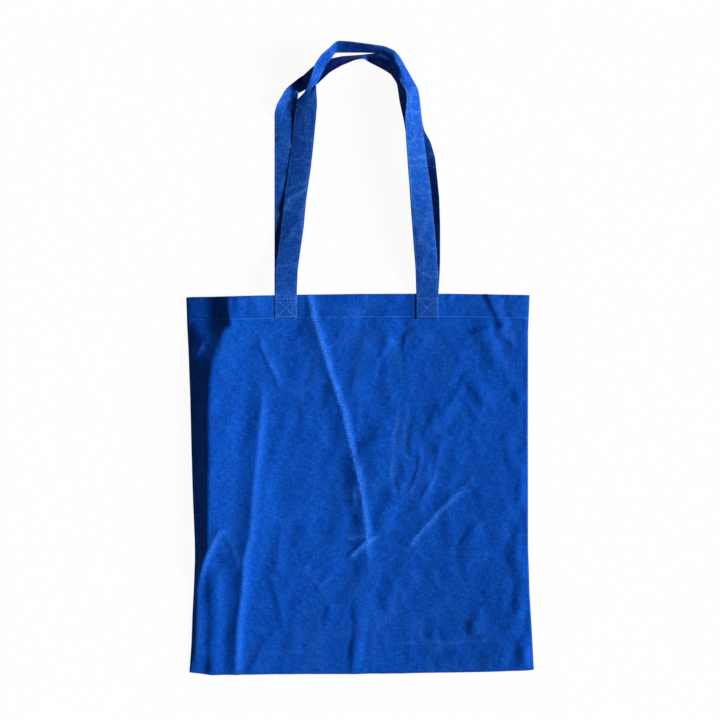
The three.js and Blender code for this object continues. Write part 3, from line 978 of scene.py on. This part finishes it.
# %% The ways of the two bands
FRONT_WAY = [
    (-94, 5, -70, 5, 0, 13, 0),
    (-94, 28, -69, 28, 0, 10.5, 0),
    (-91, 50, -66, 50, -1, 6.5, 0),
    (-88, 74.5, -62.5, 74.5, -2, 3, 0.3),
    (-84.5, 108, -59.5, 107, -2, 1.7, 0.2),
    (-79.5, 143.5, -54.5, 141, -3, 1.6, 0.2),
    (-76, 170, -51.5, 168, -3.4, 1.6, 0.2),
    (-74, 192.5, -49, 194.5, -4, 1.8, 0.2),
    (-72, 207, -47.5, 212.5, -6.5, 3.2, 0.6),
    (-70, 217, -48.5, 230.5, -8, 5.5, 0.5),
    (-61.5, 225, -48.5, 234, 2, 9, 5),
    (-55, 239, -45, 240, 13, 9.5, 3),
    (-50.5, 255, -39, 250, 18, 11, 0),
    (-43, 266, -33.5, 260, 21, 12, 0),
    (-33.5, 274, -28.5, 267.5, 22, 10, 0),
    (-26, 281.5, -27, 269, 21, 8.5, 0),
    (-13, 281, -14, 269, 21.5, 9, 0),
    (2, 279, 2, 269, 22, 10, 0),
    (16.5, 277, 15.5, 268.5, 20, 12, 2),
    (28, 275.5, 25.5, 267, 15, 13.5, 5),
    (39, 270.5, 33, 262, 12, 13.5, 4),
    (45, 263.5, 35, 253.5, 4, 13, 8),
    (50, 254.5, 38.5, 246.5, -6, 12, 8),
    (56.5, 243, 43, 238.5, -12, 10, 6),
    (64, 230, 49.5, 228.5, -18, 8.5, 3),
    (66, 221, 52, 220, -20, 8.5, 1),
    (68.5, 198, 50, 197, -16.5, 8.5, 0.5),
    (70.5, 179, 50.5, 179, -14.5, 9.5, 0.5),
    (75, 142.5, 53, 142.5, -11.5, 10.5, 0.4),
    (78, 123.5, 54.5, 123.5, -9, 12, 0.4),
    (81, 93.5, 56.5, 93.5, -5, 12.5, 0.4),
    (84, 61, 59, 61, -2.5, 13, 0.3),
    (86.5, 30, 61.5, 30, -1.5, 10, 0),
    (87.3, 5, 62.3, 5, 0, 5.6, 0),
]

ON_FLOOR = BAND / 2 / MM
BACK_WAY = [
    (-95, 6, -70, 6, 0, ON_FLOOR, 0),
    (-95, 37, -70, 37, 0, ON_FLOOR, 0.2),
    (-95, 106, -70, 106, 0, ON_FLOOR, 0.4),
    (-95, 180, -70, 180, 0, ON_FLOOR, 0.4),
    (-95, 194, -70, 194, 0.5, ON_FLOOR, 0),
    (-95, 203, -70, 204, 2.5, 1.6, -2),
    (-92, 212.5, -69.5, 215.5, 4.5, 4, -5),
    (-82, 229.5, -68.5, 223, 7, 2.5, -2),
    (-67, 241.7, -69, 223.8, 5, ON_FLOOR, 0),
    (-62.5, 244.6, -61.5, 227.5, -9, ON_FLOOR, 0),
    (-52, 254.5, -48.5, 233, -7, ON_FLOOR, 0),
    (-32, 263, -33.5, 247, -15, ON_FLOOR, 0),
    (-20, 265.5, -21, 254, -22, ON_FLOOR, 0),
    (-4.5, 266.5, -5.5, 260.5, -24, ON_FLOOR, 0),
    (3.5, 267, 3.7, 262, -24.3, ON_FLOOR, 0),
    (9, 268, 8.5, 259.5, -2, ON_FLOOR, 4),
    (16.5, 268.5, 15.5, 256, 6, ON_FLOOR, 7),
    (29, 268, 27, 250, 9, ON_FLOOR, 5),
    (44, 259, 34.5, 245, 8, ON_FLOOR, 6),
    (53.5, 239, 41, 235, 4, ON_FLOOR, 7),
    (62, 219, 44, 214.5, 4, ON_FLOOR, 6),
    (68, 198, 48.5, 194.5, 4, ON_FLOOR, 3),
    (71.5, 182.5, 51, 179, 5, ON_FLOOR, 1),
    (78.5, 170, 55, 165.5, 5.5, ON_FLOOR, 0.4),
    (83.5, 152.5, 59.5, 149, 7, ON_FLOOR, 0.4),
    (86, 128, 64, 125.5, 12, ON_FLOOR, 0.3),
    (88, 108, 65.5, 105.5, 13.5, ON_FLOOR, 0.3),
    (89, 78, 66.5, 77, 13.5, ON_FLOOR, 0.3),
    (89, 37, 66, 37, 11, ON_FLOOR, 0.2),
    (88, 13.5, 63.5, 13.5, 5, ON_FLOOR, 0),
]

FRONT_HANDLE_FOLDS = [
    fold(0.8, 5, 7, [(-87, 92), (-80, 107), (-72, 112), (-57, 119)], ends=(5, 5), rub_and_highlight=0.6),
    fold(0.7, 4, 5, [(-84, 58), (-76, 72), (-66, 84)], ends=(5, 8), rub_and_highlight=0.2),
    fold(0.8, 4, 4, [(76, 155), (64, 152), (53, 149)], ends=(3, 6), rub_and_highlight=0.5),
    fold(-0.7, 5, 5, [(52, 214), (58, 217), (66, 218)], ends=(3, 3)),
    fold(0.8, 5, 7, [(62, 60), (72, 84), (76, 100)], ends=(8, 10), rub_and_highlight=0.3),
]
BACK_HANDLE_FOLDS = [
    fold(0.8, 4, 5, [(-94, 173), (-82, 170), (-72, 160)], ends=(4, 4), rub_and_highlight=0.5),
    fold(1.2, 5, 5, [(19, 252), (22, 260), (24, 266)], ends=(3, 3)),
]
print(len(FRONT_WAY), "and", len(BACK_WAY), "stops")

# %% Walk along a way
SOFTENING = 1.7 * MM
ROW_STEP = 1.8 * MM


def softened(values, rows_wide):
    """Each column averaged with its neighbours, so that the corners between stops become tight bends."""
    reach = int(3 * rows_wide) + 1
    weights = np.exp(-0.5 * (np.arange(-reach, reach + 1) / rows_wide) ** 2)
    weights /= weights.sum()
    longer = np.pad(values, ((reach, reach), (0, 0)), mode="edge")
    return np.stack([np.convolve(column, weights, "valid") for column in longer.T], axis=1)


def walk(stops):
    """Rows of the stops' values at even steps along the band's middle line, and how far along each is."""
    stops = np.array(stops, float) * MM
    middle = (stops[:, 0:2] + stops[:, 2:4]) / 2
    run = np.concatenate([[0], np.cumsum(np.hypot(*np.diff(middle, axis=0).T))])
    places = np.linspace(0, run[-1], int(run[-1] / ROW_STEP) + 1)
    rows = np.stack([np.interp(places, run, column) for column in stops.T], axis=1)
    return softened(rows, SOFTENING / ROW_STEP), places


# %% The section of a band
ACROSS = np.array([-1, -0.985, -0.95, -0.9, -0.87, -0.84, -0.81, -0.76, -0.6, -0.4, -0.2, 0,
                   0.2, 0.4, 0.6, 0.76, 0.81, 0.84, 0.87, 0.9, 0.95, 0.985, 1])
STITCH_AT = 0.84
STITCH_GROOVE = 0.26
STITCH_GROOVE_WIDTH = 0.035
EDGE_POWER = 9
THINNEST = 0.12


def band_half():
    """Half the band's thickness across its width: rounded at the folded edges, pulled in by the stitches."""
    rounded = np.clip(1 - np.abs(ACROSS) ** EDGE_POWER, 0, 1) ** 0.5
    groove = STITCH_GROOVE * np.exp(-(((np.abs(ACROSS) - STITCH_AT) / STITCH_GROOVE_WIDTH) ** 2))
    return BAND / 2 * np.maximum(rounded - groove, THINNEST)


TAIL_TOP = 3 * MM


def tail_stops(middle, outward, level, lift):
    """Three stops of a sewn end, at the panel's own level. level gives the height of the panel there."""
    stops = []
    for past in (-TAIL, -TAIL / 2, TAIL_TOP):
        edges = np.array([middle + outward * BAND_WIDTH / 2, middle - outward * BAND_WIDTH / 2])
        heights = level(edges, np.full(2, max(-past, 0.0))) + lift
        rise = heights[0] - heights[1]
        stops.append(tuple(
            value / MM for value in (edges[0], past, edges[1], past, rise, heights.min(), 0)
        ))
    return stops


PUCKER = 0.2 * MM
PUCKER_LENGTH = 8.5 * MM
PUCKER_DRIFT = 0.03
PUCKER_AT = 0.92
PUCKER_WIDTH = 0.16
BAND_WAVE = 0.55 * MM
BAND_WAVE_CELL = 20 * MM
BAND_CREASE = 0.45 * MM
BAND_CREASE_CELL = 30 * MM
BAND_START = 0.2
BAND_WEAR = 0.5
EDGE_WEAR_POWER = 14
BOW_ROUNDING = 0.01
# past the mouth: where the relief is full, and where a band starts to leave the panel and how soon it has
FULL_RELIEF = 18 * MM
LEAVE_PANEL = 2 * MM
LEAVE_LENGTH = 16 * MM


def band_relief(along, across, px, past, folds, seed):
    """Puckers along the stitched edges, soft waves, random creases and the given folds, with the wear and
    the folds' painted highlight.
    """
    edge = np.exp(-(((np.abs(ACROSS) - PUCKER_AT) / PUCKER_WIDTH) ** 2))[None, :]
    turns = along / PUCKER_LENGTH * 2 * math.pi + 2 * np.sin(along / PUCKER_DRIFT)
    creases = crumple(along, across + BAND_START, BAND_CREASE_CELL, seed)
    waves = BAND_WAVE * soft_noise(along, across, BAND_WAVE_CELL, seed)
    relief = PUCKER * np.sin(turns) * edge + waves + BAND_CREASE * creases
    wear_and_highlight = BAND_WEAR * np.abs(ACROSS)[None, :] ** EDGE_WEAR_POWER + BAND_WEAR * creases**3
    for facts in folds:
        height, rubbed_and_highlighted = fold_height(px, past, facts)
        relief = relief + height
        wear_and_highlight = np.maximum(wear_and_highlight, rubbed_and_highlighted)
    return relief, np.clip(wear_and_highlight, 0, 1)


def band_points(way, folds, level, lift, seed):
    """The middle points of a band's mesh, how far along each row lies, and the wear and painted highlight at
    each point.
    """
    stops = tail_stops(TAIL_MIDDLES[0], -1, level, lift) + way
    stops += tail_stops(TAIL_MIDDLES[1], 1, level, lift)[::-1]
    rows, run = walk(stops)
    outer_x, outer_y, inner_x, inner_y, rise, low, bow = [column[:, None] for column in rows.T]
    outward = (1 - ACROSS[None, :]) / 2
    px = inner_x + (outer_x - inner_x) * outward
    past = inner_y + (outer_y - inner_y) * outward
    pz = low + np.maximum(-rise, 0) + rise * outward
    pz = pz + bow * (1 - np.sqrt(ACROSS**2 + BOW_ROUNDING))[None, :]
    along = run[:, None] + 0 * px
    across = ACROSS[None, :] * BAND_WIDTH / 2 + 0 * px
    relief, wear_and_highlight = band_relief(along, across, px, past, folds, seed)
    middle_past = (outer_y + inner_y) / 2
    pz = pz + relief * fade(middle_past / FULL_RELIEF)
    if level is not on_floor:
        on_panel = 1 - fade((middle_past - LEAVE_PANEL) / LEAVE_LENGTH)
        pz = pz * (1 - on_panel) + (level(px, np.maximum(-past, 0)) + lift) * on_panel
    points = np.stack([px, past + MOUTH_Y, np.maximum(pz, BAND / 2)], axis=2)
    return points, run, wear_and_highlight


def on_front(x, down):
    return front_level(x, down)[0]


def on_floor(x, down):
    return np.zeros(np.shape(x))


END_TAPER = 1.2 * MM
END_THINNEST = 0.15


def band(name, way, folds, level, lift, seed, material):
    points, run, wear_and_highlight = band_points(way, folds, level, lift, seed)
    points = points[:, ::-1]
    to_end = np.minimum(run, run[-1] - run)
    taper = np.clip(to_end / END_TAPER, END_THINNEST, 1) ** 0.5
    half = band_half()[None, :, None] * taper[:, None, None]
    flat = np.stack(np.broadcast_arrays(ACROSS[None, ::-1] * BAND_WIDTH / 2, run[:, None]), axis=2)
    print(name, "is", round(run[-1] / MM), "mm long")
    return slab(name, points, half, flat, wear_and_highlight[:, ::-1], material), run


ON_PANEL = CLOTH / 2 + BAND / 2 + CLEARANCE
(front_band, front_top, front_under), front_run = band(
    "front_handle_band", FRONT_WAY, FRONT_HANDLE_FOLDS, on_front, ON_PANEL, 21, front_handle_cotton
)
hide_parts("front_handle")
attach(front_band, "root")
(back_band, back_top, back_under), back_run = band(
    "back_handle_band", BACK_WAY, BACK_HANDLE_FOLDS, on_floor, BAND / 2, 31, back_handle_cotton
)
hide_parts("back_handle")
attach(back_band, "root")
print("bands have", len(front_band.data.polygons), "and", len(back_band.data.polygons), "faces")

# %% [markdown]
# ## Stitches
# Lockstitch shows as a row of short, slightly raised dashes. There are well over a thousand of them, all
# alike, so they are a job for Geometry Nodes: a line of sewing is a curve on the cloth, the tree walks
# along it in steps of one stitch, and puts a small rounded thread at each step. Length, thickness and
# spacing are inputs of the tree, so a hem, an edge and a boxed cross share it.

# %% The tree that sews
BEAD_SEGMENTS = 6
BEAD_RINGS = 4
LEAST_SIZE = (0.85, 0.85, 0.88)
MOST_SIZE = (1.15, 1.15, 1.08)


def sewing_tree():
    inputs = {
        "Lines": "Geometry", "Spacing": "Float", "Stitch length": "Float", "Thread radius": "Float",
        "Seed": "Int", "Thread": "Material",
    }
    tree, given, result = new_group(
        "row of stitches", inputs, {"Stitches": "Geometry"}, tree_kind="GeometryNodeTree"
    )
    row = {"Curve": given["Lines"], "Length": given["Spacing"]}
    steps = tree.add("GeometryNodeResampleCurve", row, mode="LENGTH")
    places = tree.add("GeometryNodeCurveToPoints", {"Curve": steps.outputs[0]}, mode="EVALUATED").outputs
    round_bead = {"Segments": BEAD_SEGMENTS, "Rings": BEAD_RINGS, "Radius": 1.0}
    bead = tree.add("GeometryNodeMeshUVSphere", round_bead)
    radius = given["Thread radius"]
    half = tree.times(given["Stitch length"], 0.5)
    shape = tree.add("ShaderNodeCombineXYZ", {"X": radius, "Y": radius, "Z": half})
    span = {"Min": LEAST_SIZE, "Max": MOST_SIZE, "Seed": given["Seed"]}
    vary = tree.add("FunctionNodeRandomValue", span, data_type="FLOAT_VECTOR")
    size = tree.vector("MULTIPLY", shape.outputs[0], vary.outputs[0])
    stitch = {
        "Points": places["Points"], "Instance": bead.outputs["Mesh"], "Rotation": places["Rotation"],
        "Scale": size,
    }
    placed = tree.add("GeometryNodeInstanceOnPoints", stitch)
    real = tree.add("GeometryNodeRealizeInstances", {"Geometry": placed.outputs[0]})
    painted = tree.add("GeometryNodeSetMaterial", {"Geometry": real.outputs[0], "Material": given["Thread"]})
    tree.give(result["Stitches"], painted.outputs[0])
    return tree.tree


sewing = sewing_tree()
print("sewing tree has", len(sewing.nodes), "nodes")

# %% Sew along lines
THREAD_RADIUS = 0.2 * MM
STITCH_SPACING = 3.0 * MM
STITCH_LENGTH = 2.5 * MM


def sew(name, lines, seed):
    """Lines of points on the cloth become one mesh of stitches, which are kept above the floor."""
    path = bpy.data.curves.new(name + "_path", "CURVE")
    path.dimensions = "3D"
    for line in lines:
        spline = path.splines.new("POLY")
        spline.points.add(len(line) - 1)
        above_floor = np.maximum(line, [-FAR, -FAR, THREAD_RADIUS])
        spline.points.foreach_set("co", np.column_stack([above_floor, np.ones(len(line))]).ravel())
    guide = bpy.data.objects.new(name + "_path", path)
    bpy.context.scene.collection.objects.link(guide)
    modifier = guide.modifiers.new("sewing", "NODES")
    modifier.node_group = sewing
    values = {
        "Spacing": STITCH_SPACING, "Stitch length": STITCH_LENGTH, "Thread radius": THREAD_RADIUS,
        "Seed": seed, "Thread": thread,
    }
    for item in sewing.interface.items_tree:
        if item.in_out == "INPUT" and item.name in values:
            modifier[item.identifier] = values[item.name]
    bpy.context.view_layer.update()
    evaluated = guide.evaluated_get(bpy.context.evaluated_depsgraph_get())
    mesh = bpy.data.meshes.new_from_object(evaluated)
    mesh.name = name
    guide.modifiers.remove(modifier)
    bpy.data.objects.remove(guide)
    mesh.polygons.foreach_set("use_smooth", np.ones(len(mesh.polygons), bool))
    stitches = bpy.data.objects.new(name, mesh)
    bpy.context.scene.collection.objects.link(stitches)
    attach(stitches, "root")
    print(name, len(mesh.polygons) // (BEAD_SEGMENTS * BEAD_RINGS), "stitches")
    return stitches


# %% [markdown]
# ### The hem line
# The hem is held by one row of stitches, 25 mm below the mouth, right round the bag. It runs on under
# the sewn ends of the handles, so there it is left out.

# %% Sew the hem
HEM_POINTS = 200
HEM_PROUD = 0.08 * MM
SEAM_MARGIN = 3 * MM
TAIL_GAP = 1.5 * MM


def hem_line(level, side, start, end):
    x = np.linspace(start, end, HEM_POINTS)
    down = np.full(HEM_POINTS, HEM)
    z = level(x, down)[0] + side * (CLOTH / 2 + HEM_PROUD)
    y = MOUTH_Y - HEM + along_stops(x, MOUTH_LINE)
    return np.column_stack([x, y, z])


def hem_lines():
    reach = BAND_WIDTH / 2 + TAIL_GAP
    cuts = [float(along_stops(HEM, LEFT_SIDE)) + SEAM_MARGIN]
    for middle in TAIL_MIDDLES:
        cuts += [middle - reach, middle + reach]
    cuts.append(float(along_stops(HEM, RIGHT_SIDE)) - SEAM_MARGIN)
    lines = []
    for start, end in zip(cuts[::2], cuts[1::2]):
        lines.append(hem_line(front_level, 1, start, end))
        lines.append(hem_line(back_level, -1, start, end))
    return lines


hem_stitches = sew("hem_stitches", hem_lines(), 3)

# %% [markdown]
# ### The handle edges and the boxed crosses
# Each band has a row of stitches along both edges, which shows on both faces. Each sewn end has a box of
# stitches with a cross in it, the strongest simple way to join a strap to a panel.

# %% Sew the handles
BAND_PROUD = 0.12 * MM
BACK_PROUD = 0.02 * MM
BOX_LOW = -TAIL + 3 * MM
BOX_HIGH = -4 * MM
BOX_POINTS = 24


def edge_lines(top, under):
    lines = []
    for share in (-STITCH_AT, STITCH_AT):
        column = int(np.argmin(np.abs(ACROSS + share)))
        lines.append(top[:, column] + np.array([0, 0, BAND_PROUD]))
        lines.append(under[:, column] - np.array([0, 0, BAND_PROUD]))
    return lines


def box_cross(middle, surface_point):
    """The box's two short sides and its cross. Its long sides are the rows along the band's edges."""
    half = BAND_WIDTH / 2 * STITCH_AT
    low_left, low_right = (-half, BOX_LOW), (half, BOX_LOW)
    high_left, high_right = (-half, BOX_HIGH), (half, BOX_HIGH)
    runs = [(low_left, low_right), (high_left, high_right), (low_left, high_right), (low_right, high_left)]
    lines = []
    for (ax, ay), (bx, by) in runs:
        share = np.linspace(0, 1, BOX_POINTS)
        x = middle + ax + (bx - ax) * share
        past = ay + (by - ay) * share
        lines.append(surface_point(x, past))
    return lines


def on_front_tail(x, past):
    z = front_level(x, -past)[0] + CLOTH / 2 + BAND + BAND_PROUD
    return np.column_stack([x, MOUTH_Y + past, z])


def on_back_tail(x, past):
    return np.column_stack([x, MOUTH_Y + past, np.full(len(x), BACK_PROUD)])


front_lines = edge_lines(front_top, front_under)
back_lines = edge_lines(back_top, back_under)
for middle in TAIL_MIDDLES:
    front_lines += box_cross(middle, on_front_tail)
    back_lines += box_cross(middle, on_back_tail)
front_stitches = sew("front_handle_stitches", front_lines, 5)
back_stitches = sew("back_handle_stitches", back_lines, 6)
